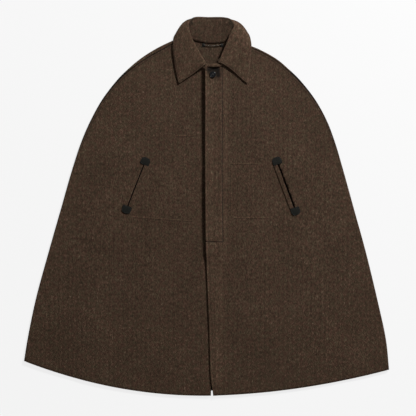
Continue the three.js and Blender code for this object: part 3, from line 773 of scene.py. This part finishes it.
def stitches(name, points, length=3.0, gap=1.1, radius=0.32, sink=0.12):
    """A run of short rounded stitches along a line of surface points."""
    p = np.asarray(points, float)
    run = np.concatenate([[0], np.cumsum(np.linalg.norm(np.diff(p, axis=0), axis=1))])
    at = lambda s: np.array([np.interp(s, run, p[:, k]) for k in range(3)])
    verts, faces = [], []
    s = 0.5
    while s + length < run[-1]:
        a, b = at(s), at(s + length)
        d = unit(b - a)
        side = unit(np.cross(d, (0, 0, 1)))
        up = np.cross(side, d)
        first = len(verts)
        for share, wide in STITCH_PROFILE:
            c = lerp(a, b, share) + up * (0.18 * math.sin(math.pi * share) - sink)
            for t in np.arange(6) * math.pi / 3:
                verts.append(c + (side * math.cos(t) + up * math.sin(t)) * radius * wide)
        faces += ring_faces(first, 5, 6)
        faces += [tuple(range(first + 5, first - 1, -1)), tuple(range(first + 24, first + 30))]
        s += length + gap
    return new_object(name, verts, faces)


def tube(points, radius, sides=8, closed=False):
    """A round rod along points, or a ring of it."""
    p = [Vector(q) for q in points]
    count = len(p)
    verts = []
    for i, place in enumerate(p):
        a = p[(i - 1) % count] if closed or i else p[0]
        b = p[(i + 1) % count] if closed or i < count - 1 else p[-1]
        d = (b - a).normalized()
        side = d.cross(Vector((0, 0, 1)))
        side = side.normalized() if side.length > 1e-4 else Vector((1, 0, 0))
        up = side.cross(d)
        for k in range(sides):
            t = 2 * math.pi * k / sides
            verts.append(tuple(place + side * math.cos(t) * radius + up * math.sin(t) * radius))
    faces = ring_faces(0, count, sides, closed)
    if not closed:
        faces += [tuple(range(sides - 1, -1, -1)), tuple(range(len(verts) - sides, len(verts)))]
    return new_object("tube", verts, faces)


def joined(name, parts):
    """One object from several, meshes only."""
    verts, faces = [], []
    for part in parts:
        base = len(verts)
        verts += [tuple(v.co) for v in part.data.vertices]
        faces += [tuple(base + k for k in f.vertices) for f in part.data.polygons]
        bpy.data.objects.remove(part, do_unlink=True)
    return new_object(name, np.array(verts) / MM, faces)


def band_grid():
    """Middle points of the stand's front end, which closes over the neckline."""
    b = BAND
    grid = []
    for t in np.linspace(0, 1, 31):
        x = lerp(b["x0"], b["x1"], t)
        y = b["y"] + b["rise"] * 4 * (t - 0.5) ** 2
        z = b["z"] - 4.5 * smooth((t - 0.66) / 0.34) - 3.2 * smooth((0.3 - t) / 0.3)
        grid.append([(x, y - over * b["depth"] / 2, z - 0.9 * over**2) for over in np.linspace(-1, 1, 7)])
    return np.array(grid)


def hanger_end_grid(x):
    """Middle points of the strap that holds an end of the chain."""
    e = CHAIN_END
    grid = []
    for t in np.linspace(0, 1, 11):
        y = lerp(e["high_y"], e["low_y"], t)
        z = CLOTH + SEAM_GAP + e["thickness"] / 2 + 0.15 * math.sin(math.pi * t)
        grid.append([(x + across * e["width"], y, z) for across in np.linspace(-0.5, 0.5, 9)])
    return np.array(grid)


def way_at(turn):
    return np.array([math.cos(turn), math.sin(turn)])


def button_object():
    """The dished disc with its four holes, and the thread through them."""
    centre = np.array([BUTTON["x"], BUTTON["y"]])
    base = float(front_top("right", *centre)) + 2 * SEAM_GAP
    count, rings = 72, len(BUTTON_PROFILE) - 2
    verts = [(*centre, base)]
    for share, z in BUTTON_PROFILE[1:-1]:
        for k in range(count):
            x, y = centre + BUTTON["radius"] * share * way_at(2 * math.pi * k / count)
            verts.append((x, y, base + z))
    verts.append((*centre, base + BUTTON_PROFILE[-1][1]))
    faces = ring_faces(1, rings, count)
    for k in range(count):
        m, last = (k + 1) % count, 1 + (rings - 1) * count
        faces += [(0, 1 + m, 1 + k), (last + count, last + k, last + m)]
    disc = new_object("button_disc", verts, faces, 60)
    for turn in (1, 3, 5, 7):
        hole = centre + BUTTON["hole_offset"] * way_at(turn * math.pi / 4)
        ring = [hole + BUTTON["hole_radius"] * way_at(k * math.pi / 8) for k in range(16)]
        cut(disc, prism(ring, base - 3, base + 8))
    disc.data.set_sharp_from_angle(angle=math.radians(50))
    threads = []
    for turn in (math.pi / 4, 3 * math.pi / 4):
        along = way_at(turn)
        for aside in (-THREAD["aside"], THREAD["aside"]):
            points = []
            for t in np.linspace(-1, 1, 13):
                x, y = centre + along * BUTTON["hole_offset"] * t + (-along[1] * aside, along[0] * aside)
                points.append((x, y, base + THREAD["low"] + THREAD["rise"] * (1 - t**4)))
            threads.append(tube(points, THREAD["radius"]))
    return disc, joined("button_threads", threads)


def chain_object():
    """Links along a sagging line, lying flat and standing on edge in turn."""
    links = []
    for k in range(LINK["count"]):
        t = (k + 0.5) / LINK["count"]
        sag = 4 * CHAIN["sag"]
        middle = (lerp(CHAIN["x0"], CHAIN["x1"], t), CHAIN["y"] - sag * t * (1 - t), CHAIN["height"])
        x, y = way_at(math.atan2(-sag * (1 - 2 * t), CHAIN["x1"] - CHAIN["x0"]))
        along = np.array([x, y, 0]) * LINK["half_length"]
        side = np.array(LINK["on_edge"]) if k % 2 else np.array([-y, x, 0]) * LINK["half_width"]
        ring = [middle + along * u + side * w for u, w in map(way_at, np.arange(18) * math.pi / 9)]
        links.append(tube(ring, LINK["wire"], closed=True))
    return joined("hanger_chain_links", links)


# Materials
def feed(tree, made, inputs):
    """Links each input that another node works out, and sets each that is a plain value."""
    for key, value in inputs.items():
        if isinstance(value, bpy.types.NodeSocket):
            tree.links.new(value, made.inputs[key])
        else:
            made.inputs[key].default_value = value


def node(tree, kind, inputs, **settings):
    made = tree.nodes.new(kind)
    for key, value in settings.items():
        setattr(made, key, value)
    feed(tree, made, inputs)
    return made


def start_material(name):
    """A new material with its tree, its shader and the place on the garment, in metres."""
    material = bpy.data.materials.new(name)
    material.use_nodes = True
    tree = material.node_tree
    tree.nodes.clear()
    shader = node(tree, "ShaderNodeBsdfPrincipled", {})
    node(tree, "ShaderNodeOutputMaterial", {"Surface": shader.outputs["BSDF"]})
    return material, tree, shader, node(tree, "ShaderNodeTexCoord", {}).outputs["Object"]


def math_node(tree, operation, *values):
    return node(tree, "ShaderNodeMath", dict(enumerate(values)), operation=operation).outputs[0]


def times(tree, a, b):
    return math_node(tree, "MULTIPLY", a, b)


def times_plus(tree, a, b, c):
    return math_node(tree, "MULTIPLY_ADD", a, b, c)


def noise(tree, place, scale, detail, **more):
    inputs = {"Vector": place, "Scale": scale, "Detail": detail, **more}
    return node(tree, "ShaderNodeTexNoise", inputs).outputs["Fac"]


def bump(tree, height, depth, strength=0.5):
    inputs = {"Height": height, "Strength": strength, "Distance": depth}
    return node(tree, "ShaderNodeBump", inputs).outputs[0]


def tinted(tree, colour, by):
    inputs = {0: 1.0, 6: colour, 7: by}
    return node(tree, "ShaderNodeMix", inputs, data_type="RGBA", blend_type="MULTIPLY").outputs[2]


def ramp(tree, factor, stops):
    made = node(tree, "ShaderNodeValToRGB", {"Fac": factor})
    elements = made.color_ramp.elements
    while len(elements) < len(stops):
        elements.new(0.5)
    for element, (place, colour) in zip(elements, stops):
        element.position = place
        element.color = (*colour, 1)
    return made.outputs["Color"]


LEG = 6.4  # width of one herringbone leg
PITCH = 1.9  # between twill lines
SLANT = 1.6  # of the twill lines
WANDER = 5.0  # of the legs to the side
YARNS = [  # from the darkest to single light flecks
    (0.0, (0.0157, 0.0089, 0.0051)), (0.45, (0.0396, 0.0226, 0.0129)),
    (0.8, (0.0766, 0.0478, 0.030)), (1.0, (0.148, 0.1035, 0.0693)),
]
TINGE = [(0.3, (0.9, 1.03, 0.96)), (0.7, (1.1, 0.96, 1.0))]
SHEEN = {"Sheen Weight": 0.06, "Sheen Roughness": 0.6, "Sheen Tint": (0.7, 0.58, 0.46, 1)}


def line_at(tree, name, at, width):
    """1 on the line where a stored distance has the given value, falling to 0 beside it."""
    stored = node(tree, "ShaderNodeAttribute", {}, attribute_type="GEOMETRY", attribute_name=name)
    off = math_node(tree, "DIVIDE", math_node(tree, "SUBTRACT", stored.outputs["Fac"], at), width)
    return math_node(tree, "EXPONENT", times(tree, times(tree, off, off), -1.0))


def herringbone(tree, place, turned):
    """The twill lines, and which way the leg that they are in leans."""
    split = node(tree, "ShaderNodeSeparateXYZ", {"Vector": turned})
    drift = math_node(tree, "SUBTRACT", noise(tree, place, 14.0, 2.0), 0.5)
    x = times_plus(tree, split.outputs["X"], 1000.0, times(tree, drift, WANDER))
    y = times(tree, split.outputs["Y"], 1000.0)
    slanted = times_plus(tree, math_node(tree, "PINGPONG", x, LEG), SLANT, y)
    twill = math_node(tree, "SINE", times(tree, slanted, 2 * math.pi / PITCH))
    leg_side = math_node(tree, "SINE", times(tree, x, math.pi / LEG))
    return times_plus(tree, twill, 0.5, 0.5), leg_side


def wool(name, turn=0.0, tint=1.0, lines=()):
    """Brushed herringbone of mixed brown yarns; turn is the grain's angle on the piece.

    Each line is a stored distance's name, the value it runs at, its width, how much darker
    and how much deeper the cloth is there.
    """
    material, tree, shader, place = start_material(name)
    turning = {"Vector": place, "Angle": turn}
    turned = node(tree, "ShaderNodeVectorRotate", turning, rotation_type="Z_AXIS").outputs[0]
    twill, leg_side = herringbone(tree, place, turned)
    fibre = noise(tree, place, 620.0, 3.0, Roughness=0.65)
    drawn_out = node(tree, "ShaderNodeMapping", {"Vector": turned, "Scale": (1.0, 0.45, 1.0)})
    yarn = noise(tree, drawn_out.outputs[0], 330.0, 2.0, Roughness=0.6)
    patchy = noise(tree, place, 90.0, 2.0)
    cloudy = noise(tree, place, 9.0, 3.0)

    total = times(tree, yarn, 0.5)
    for part, share in ((fibre, 0.34), (patchy, 0.16), (cloudy, 0.1), (twill, 0.12), (leg_side, 0.012)):
        total = times_plus(tree, part, share, total)
    spread = times_plus(tree, math_node(tree, "SUBTRACT", total, 0.61), 2.7, 0.45)
    yarns = ramp(tree, spread, [(at, [k * tint for k in colour]) for at, colour in YARNS])
    colour = tinted(tree, yarns, ramp(tree, noise(tree, place, 120.0, 1.0), TINGE))

    height = times_plus(tree, yarn, 0.6, times_plus(tree, fibre, 0.75, times(tree, twill, 0.3)))
    for stored, at, width, darker, deeper in lines:
        on = line_at(tree, stored, at, width)
        shade = math_node(tree, "SUBTRACT", 1.0, times(tree, on, darker))
        grey = node(tree, "ShaderNodeCombineColor", {0: shade, 1: shade, 2: shade}).outputs[0]
        colour = tinted(tree, colour, grey)
        height = times_plus(tree, on, -deeper, height)
    feed(tree, shader, {
        "Base Color": colour, "Normal": bump(tree, height, 0.0006),
        "Roughness": times_plus(tree, fibre, 0.12, 0.84), "Specular IOR Level": 0.12, **SHEEN,
    })
    return material


def mottled(name, scale, detail, tones, rough, shine, **more):
    """A material with tones and roughness from one noise; rough is by how much and from what."""
    material, tree, shader, place = start_material(name)
    mottle = noise(tree, place, scale, detail, **more)
    roughness = times_plus(tree, mottle, *rough)
    feed(tree, shader, {"Base Color": ramp(tree, mottle, tones), "Roughness": roughness, **shine})
    return material, tree, shader, place, mottle


def leather():
    tones = [
        (0.3, (0.003, 0.0034, 0.0024)), (0.62, (0.0066, 0.007, 0.0052)), (0.85, (0.015, 0.0155, 0.012)),
    ]
    material, tree, shader, place, grain = mottled(
        "tab_leather", 260.0, 4.0, tones, (0.3, 0.6), {"Specular IOR Level": 0.15})
    cells = node(tree, "ShaderNodeTexVoronoi", {"Vector": place, "Scale": 900.0}).outputs["Distance"]
    feed(tree, shader, {"Normal": bump(tree, times_plus(tree, grain, 0.5, cells), 0.0004)})
    return material


def horn():
    tones = [
        (0.35, (0.0025, 0.0027, 0.0032)), (0.62, (0.005, 0.0055, 0.0065)), (0.85, (0.016, 0.018, 0.021)),
    ]
    shine = {"Specular IOR Level": 0.3}
    return mottled("button_horn", 220.0, 5.0, tones, (0.1, 0.08), shine, Distortion=1.5)[0]


def metal():
    tones = [(0.35, (0.012, 0.0115, 0.01)), (0.72, (0.16, 0.15, 0.13))]
    return mottled("chain_metal", 500.0, 4.0, tones, (0.25, 0.3), {"Metallic": 1.0})[0]


def thread(name, colour):
    material, tree, shader, place = start_material(name)
    ply = noise(tree, place, 1500.0, 2.0)
    tones = [(0.3, [c * 0.5 for c in colour]), (0.7, [c * 1.4 for c in colour])]
    feed(tree, shader, {
        "Base Color": ramp(tree, ply, tones), "Normal": bump(tree, ply, 0.0002, 0.4), "Roughness": 0.75,
    })
    return material


def dress(piece, material, slot, *nodes):
    """Gives a piece its material, its body and the solids that it stands for."""
    piece.data.materials.clear()
    piece.data.materials.append(material)
    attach(piece, "root")
    if nodes:
        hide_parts(*nodes)
    return piece


SEAM_LINE = ("from_seam", 0.0, 1.5, 0.75, 1.0)
# the back gets painted shade where the fronts lie over it and, less, inside the neck
BODY_LINES = [SEAM_LINE, ("painted_inner_shade", 1.0, 0.4, 0.93, 0.0)]
FRONT_LINES = [
    SEAM_LINE,
    ("from_seam", 5.5, 1.2, 0.4, 0.8),
    ("from_stitching", 0.0, 1.5, 0.5, 1.6),
    ("from_foot", 0.0, 1.5, 0.7, 1.6),
    ("from_front_edge", 24.0, 24.0, -0.1, 0.0),
    ("from_front_edge", 3.4, 2.2, -0.2, 0.0),
    ("from_front_edge", 7.4, 1.1, 0.25, 1.2),
    ("from_hem", 3.4, 1.2, 0.4, 1.2),
    # pocket ridges: raised, with a painted highlight on them and painted shade in the shallow groove
    # beside
    ("from_pocket_across", 0.0, 1.3, -0.45, -0.8),
    ("from_pocket_across", -2.7, 1.3, 0.3, 0.4),
    ("from_pocket_down", 0.0, 1.3, -0.3, -0.6),
    ("from_pocket_down", -2.7, 1.3, 0.25, 0.4),
    # painted shadow of the collar stand's front end, above and beside the button
    ("from_neck_shadow", 0.0, 8.0, 0.88, 0.0),
    ("from_neck_shadow", 0.0, 6.0, 0.6, 0.0),
]
COLLAR_LINES = [
    ("from_stitching", 4.2, 1.1, 0.35, 1.4),
    ("from_top_roll", -4.6, 1.5, 0.55, 1.4),
    # painted shade inside the collar beside its side rolls, and a painted highlight along the rolls' edge
    ("from_side_roll", -9.0, 7.5, 0.5, 0.0),
    ("from_side_roll", 1.2, 1.6, -0.25, 0.0),
    # painted shade over the collar's inner face, between the roll and the neck seam
    ("inside", 1.0, 0.4, 0.14, 0.0),
]
WOOL = wool("wool_body", lines=BODY_LINES)
WOOL_FRONT = wool("wool_front", lines=FRONT_LINES)
# the collar's wool is the body's made 1.13 times lighter, painted light: a lit copy of the same cloth
WOOL_COLLAR = wool("wool_collar", turn=0.1, tint=1.13, lines=COLLAR_LINES)
WOOL_TRIM = wool("wool_trim")
LEATHER, HORN, METAL = leather(), horn(), metal()
THREAD_BROWN = thread("thread_brown", (0.045, 0.03, 0.021))
THREAD_DARK = thread("thread_dark", (0.012, 0.011, 0.01))


# The floor, light and camera
FLOOR_HALF = 30.0  # metres, so that it fills the picture from low angles too
FLOOR_DROP = 0.0003  # so that the cloth's underside doesn't lie in the floor


def stage():
    """A pale floor with some light of its own, as on a light table."""
    corners = [(x * FLOOR_HALF, y * FLOOR_HALF, 0) for x, y in ((-1, -1), (1, -1), (1, 1), (-1, 1))]
    mesh = bpy.data.meshes.new("floor")
    mesh.from_pydata(corners, [], [(0, 1, 2, 3)])
    material, tree, shader, _ = start_material("floor_light_table")
    feed(tree, shader, {
        "Base Color": (0.12, 0.12, 0.12, 1), "Emission Color": (1, 1, 1, 1), "Emission Strength": 0.805,
        "Specular IOR Level": 0.0, "Roughness": 0.95,
    })
    mesh.materials.append(material)
    floor = add("floor", mesh)
    floor.location.z = -FLOOR_DROP
    return floor


def area_light(name, place, size, power):
    """A square light that faces the middle of the garment."""
    light = bpy.data.lights.new(name, "AREA")
    light.shape = "SQUARE"
    light.size = size
    light.energy = power
    made = add(name, light)
    made.location = place
    made.rotation_euler = (-Vector(place)).to_track_quat("-Z", "Y").to_euler()


def studio():
    world = bpy.data.worlds.new("studio")
    bpy.context.scene.world = world
    world.use_nodes = True
    light = {"Color": (1, 1, 1, 1), "Strength": 0.14}
    feed(world.node_tree, world.node_tree.nodes["Background"], light)
    area_light("key", (2.53, 3.62, 2.35), 0.7, 420)
    area_light("overhead", (-0.6, 0.2, 4.2), 2.4, 14)
    bpy.context.scene.view_settings.view_transform = "Standard"


PHOTO_WIDTH = 416
PHOTO_SCALE = 2.8  # millimetres of the garment in a pixel of the photograph
CAMERA_HEIGHT = 3.0
CAMERA_PLACE = (4.06 * MM, -4.76 * MM, CAMERA_HEIGHT)


def camera():
    data = bpy.data.cameras.new("camera")
    data.sensor_width = 36
    data.lens = 36 * CAMERA_HEIGHT / (PHOTO_WIDTH * PHOTO_SCALE * MM)
    bpy.context.scene.camera = add("camera", data)
    bpy.context.scene.camera.location = CAMERA_PLACE


camera()
floor = stage()
studio()

# Cloth pieces
grid, facing = back_grid()
back = dress(cloth_wall("back_cloth", grid, CLOTH, facing), WOOL, "wool", "back")
x, y, z = places_of(back).T
for_seam = []
for side in ("left", "right"):
    near, at = side_share(side, x, y)
    for_seam.append(np.where(z > EDGE_ROLL / 2, seam_in[side](at) - near, FAR))
mark(back, "from_seam", np.minimum(*for_seam))
# Painted shade: the back's inside is darker under the fronts, and less so inside the neck
inner = z > CLOTH * 0.6
painted_inner_shade = inner & (y < SHADE_UNDER_FRONTS["top_y"]) & (np.abs(x) < SHADE_UNDER_FRONTS["half_width"])
in_neck = inner & (y > SHADE_UNDER_FRONTS["top_y"]) & (np.abs(x - NECK["x"]) < NECK["half_width"])
mark(back, "painted_inner_shade", np.where(painted_inner_shade, 1.0, np.where(in_neck, NECK_SHADE, 0.0)))

for wearer, side in PICTURE_SIDE.items():
    grid, facing = front_grid(side)
    piece = cloth_wall(f"front_{wearer}_cloth", grid, CLOTH, facing)
    cut(piece, slit_cutter(SLITS[wearer]))
    dress(piece, WOOL_FRONT, "wool", f"front_{wearer}")
    place = places_of(piece)
    x, y = place[:, 0], place[:, 1]
    near, at = side_share(side, x, y)
    across = x - top_edge_x(y)
    on_top = wearer == "left"
    sewn = on_top & (y > FLY_FOOT_Y - 0.2)
    foot = on_top & (across < FLY_STITCH + 0.8)
    mark(piece, "from_seam", np.where(at < SEAM_END, near - seam_in[side](at), FAR))
    mark(piece, "from_hem", y - hem_y(x, wearer))
    mark(piece, "from_stitching", np.where(sewn, across - FLY_STITCH, FAR))
    mark(piece, "from_foot", np.where(foot, y - FLY_FOOT_Y, FAR))
    mark(piece, "from_front_edge", np.where(on_top, across, FAR))
    # distance from the path of the painted shadow round the button
    mark(piece, "from_neck_shadow", np.where(on_top, from_path(NECK_SHADOW_PATH, x, y), FAR))
    for way in ("across", "down"):
        mark(piece, f"from_pocket_{way}", from_pocket_lines(wearer, way, place))

fly = dress(cloth_wall("fly_cloth", fly_grid(), FLY["thickness"]), WOOL_TRIM, "wool", "fly")

grid = collar_grid()
collar = dress(cloth_wall("collar_cloth", grid, COLLAR_CLOTH), WOOL_COLLAR, "wool", "collar")
steps = np.linalg.norm(np.diff(grid, axis=1), axis=2)
to_edge = np.hstack([np.cumsum(steps[:, ::-1], axis=1)[:, ::-1], np.zeros((len(grid), 1))])
runs = np.linalg.norm(np.diff(grid, axis=0), axis=2)
zeros = np.zeros((1, grid.shape[1]))
from_start = np.vstack([zeros, np.cumsum(runs, axis=0)])
from_end = np.vstack([np.cumsum(runs[::-1], axis=0)[::-1], zeros])
roll_at = int(np.argmin(np.abs(COLLAR_ACROSS - 0.5)))
from_roll = to_edge[:, [roll_at]] - to_edge
aside = np.abs(np.linspace(-0.5, 0.5, len(grid)))[:, None]
at_side = (aside > 0.09) & (aside < 0.24)
rims = np.full(len(collar.data.vertices) - 2 * from_roll.size, FAR)
# from_side_roll and inside give the collar painted shade and a painted highlight
for name, values in (
    ("from_stitching", np.minimum(to_edge, np.minimum(from_start, from_end))),
    ("from_top_roll", np.where(aside < 0.12, from_roll, FAR)),
    ("from_side_roll", np.where(at_side, from_roll, np.maximum(from_roll, -0.5))),
    ("inside", np.where(from_roll < -1.5, 1.0, 0.0)),
):
    mark(collar, name, np.concatenate([values.reshape(-1), values.reshape(-1), rims]))

for wearer, side in PICTURE_SIDE.items():
    slit = SLITS[wearer]
    welt = cloth_wall(f"welt_{wearer}_cloth", welt_grid(slit, side), WELT["thickness"])
    dress(welt, WOOL_TRIM, "wool", f"welt_{wearer}")
    for end in ("upper", "lower"):
        tab = f"tab_{wearer}_{end}"
        dress(tab_object(f"{tab}_patch", slit, side, end), LEATHER, "tab", tab)
        outline = tab_outline(slit, end, 48)
        line = []
        on_tab = TAB_SEWN_AT["over"] + TAB["thickness"] * TAB_SEWN_AT["thickness"]
        for x, y in lerp(outline.mean(axis=0), [*outline, outline[0]], TAB_SEWN_AT["share"]):
            line.append((x, y, float(front_top(side, x, y)) + on_tab))
        dress(stitches(f"{tab}_stitches", line, **TAB_SEWING), THREAD_DARK, "tab")

band = dress(cloth_wall("collar_band_front", band_grid(), BAND["thickness"]), WOOL_COLLAR, "wool")
for name in ("from_stitching", "from_top_roll", "from_side_roll", "inside"):
    mark(band, name, np.full(len(band.data.vertices), FAR))

# Sewing, button and hanger
down = np.linspace(FLY_STITCH_TOP_Y, FLY_FOOT_Y, 160)
side_line = [(float(top_edge_x(y)) + FLY_STITCH, y) for y in down]
foot_x = float(top_edge_x(FLY_FOOT_Y))
foot_line = [(x, FLY_FOOT_Y) for x in np.linspace(foot_x + FLY_STITCH, foot_x + 2, 30)]
for name, line in (("fly_side_stitches", side_line), ("fly_foot_stitches", foot_line)):
    points = [(x, y, float(front_top("right", x, y) + stitch_groove(x, y))) for x, y in line]
    dress(stitches(name, points), THREAD_BROWN, "wool")
disc, threads = button_object()
dress(disc, HORN, "button", "button")
dress(threads, THREAD_DARK, "button")
dress(chain_object(), METAL, "chain", "hanger_chain")
for name, x in (("right", CHAIN["x0"]), ("left", CHAIN["x1"])):
    strap = cloth_wall(f"hanger_end_{name}_strap", hanger_end_grid(x), CHAIN_END["thickness"])
    dress(strap, LEATHER, "tab", f"hanger_end_{name}")
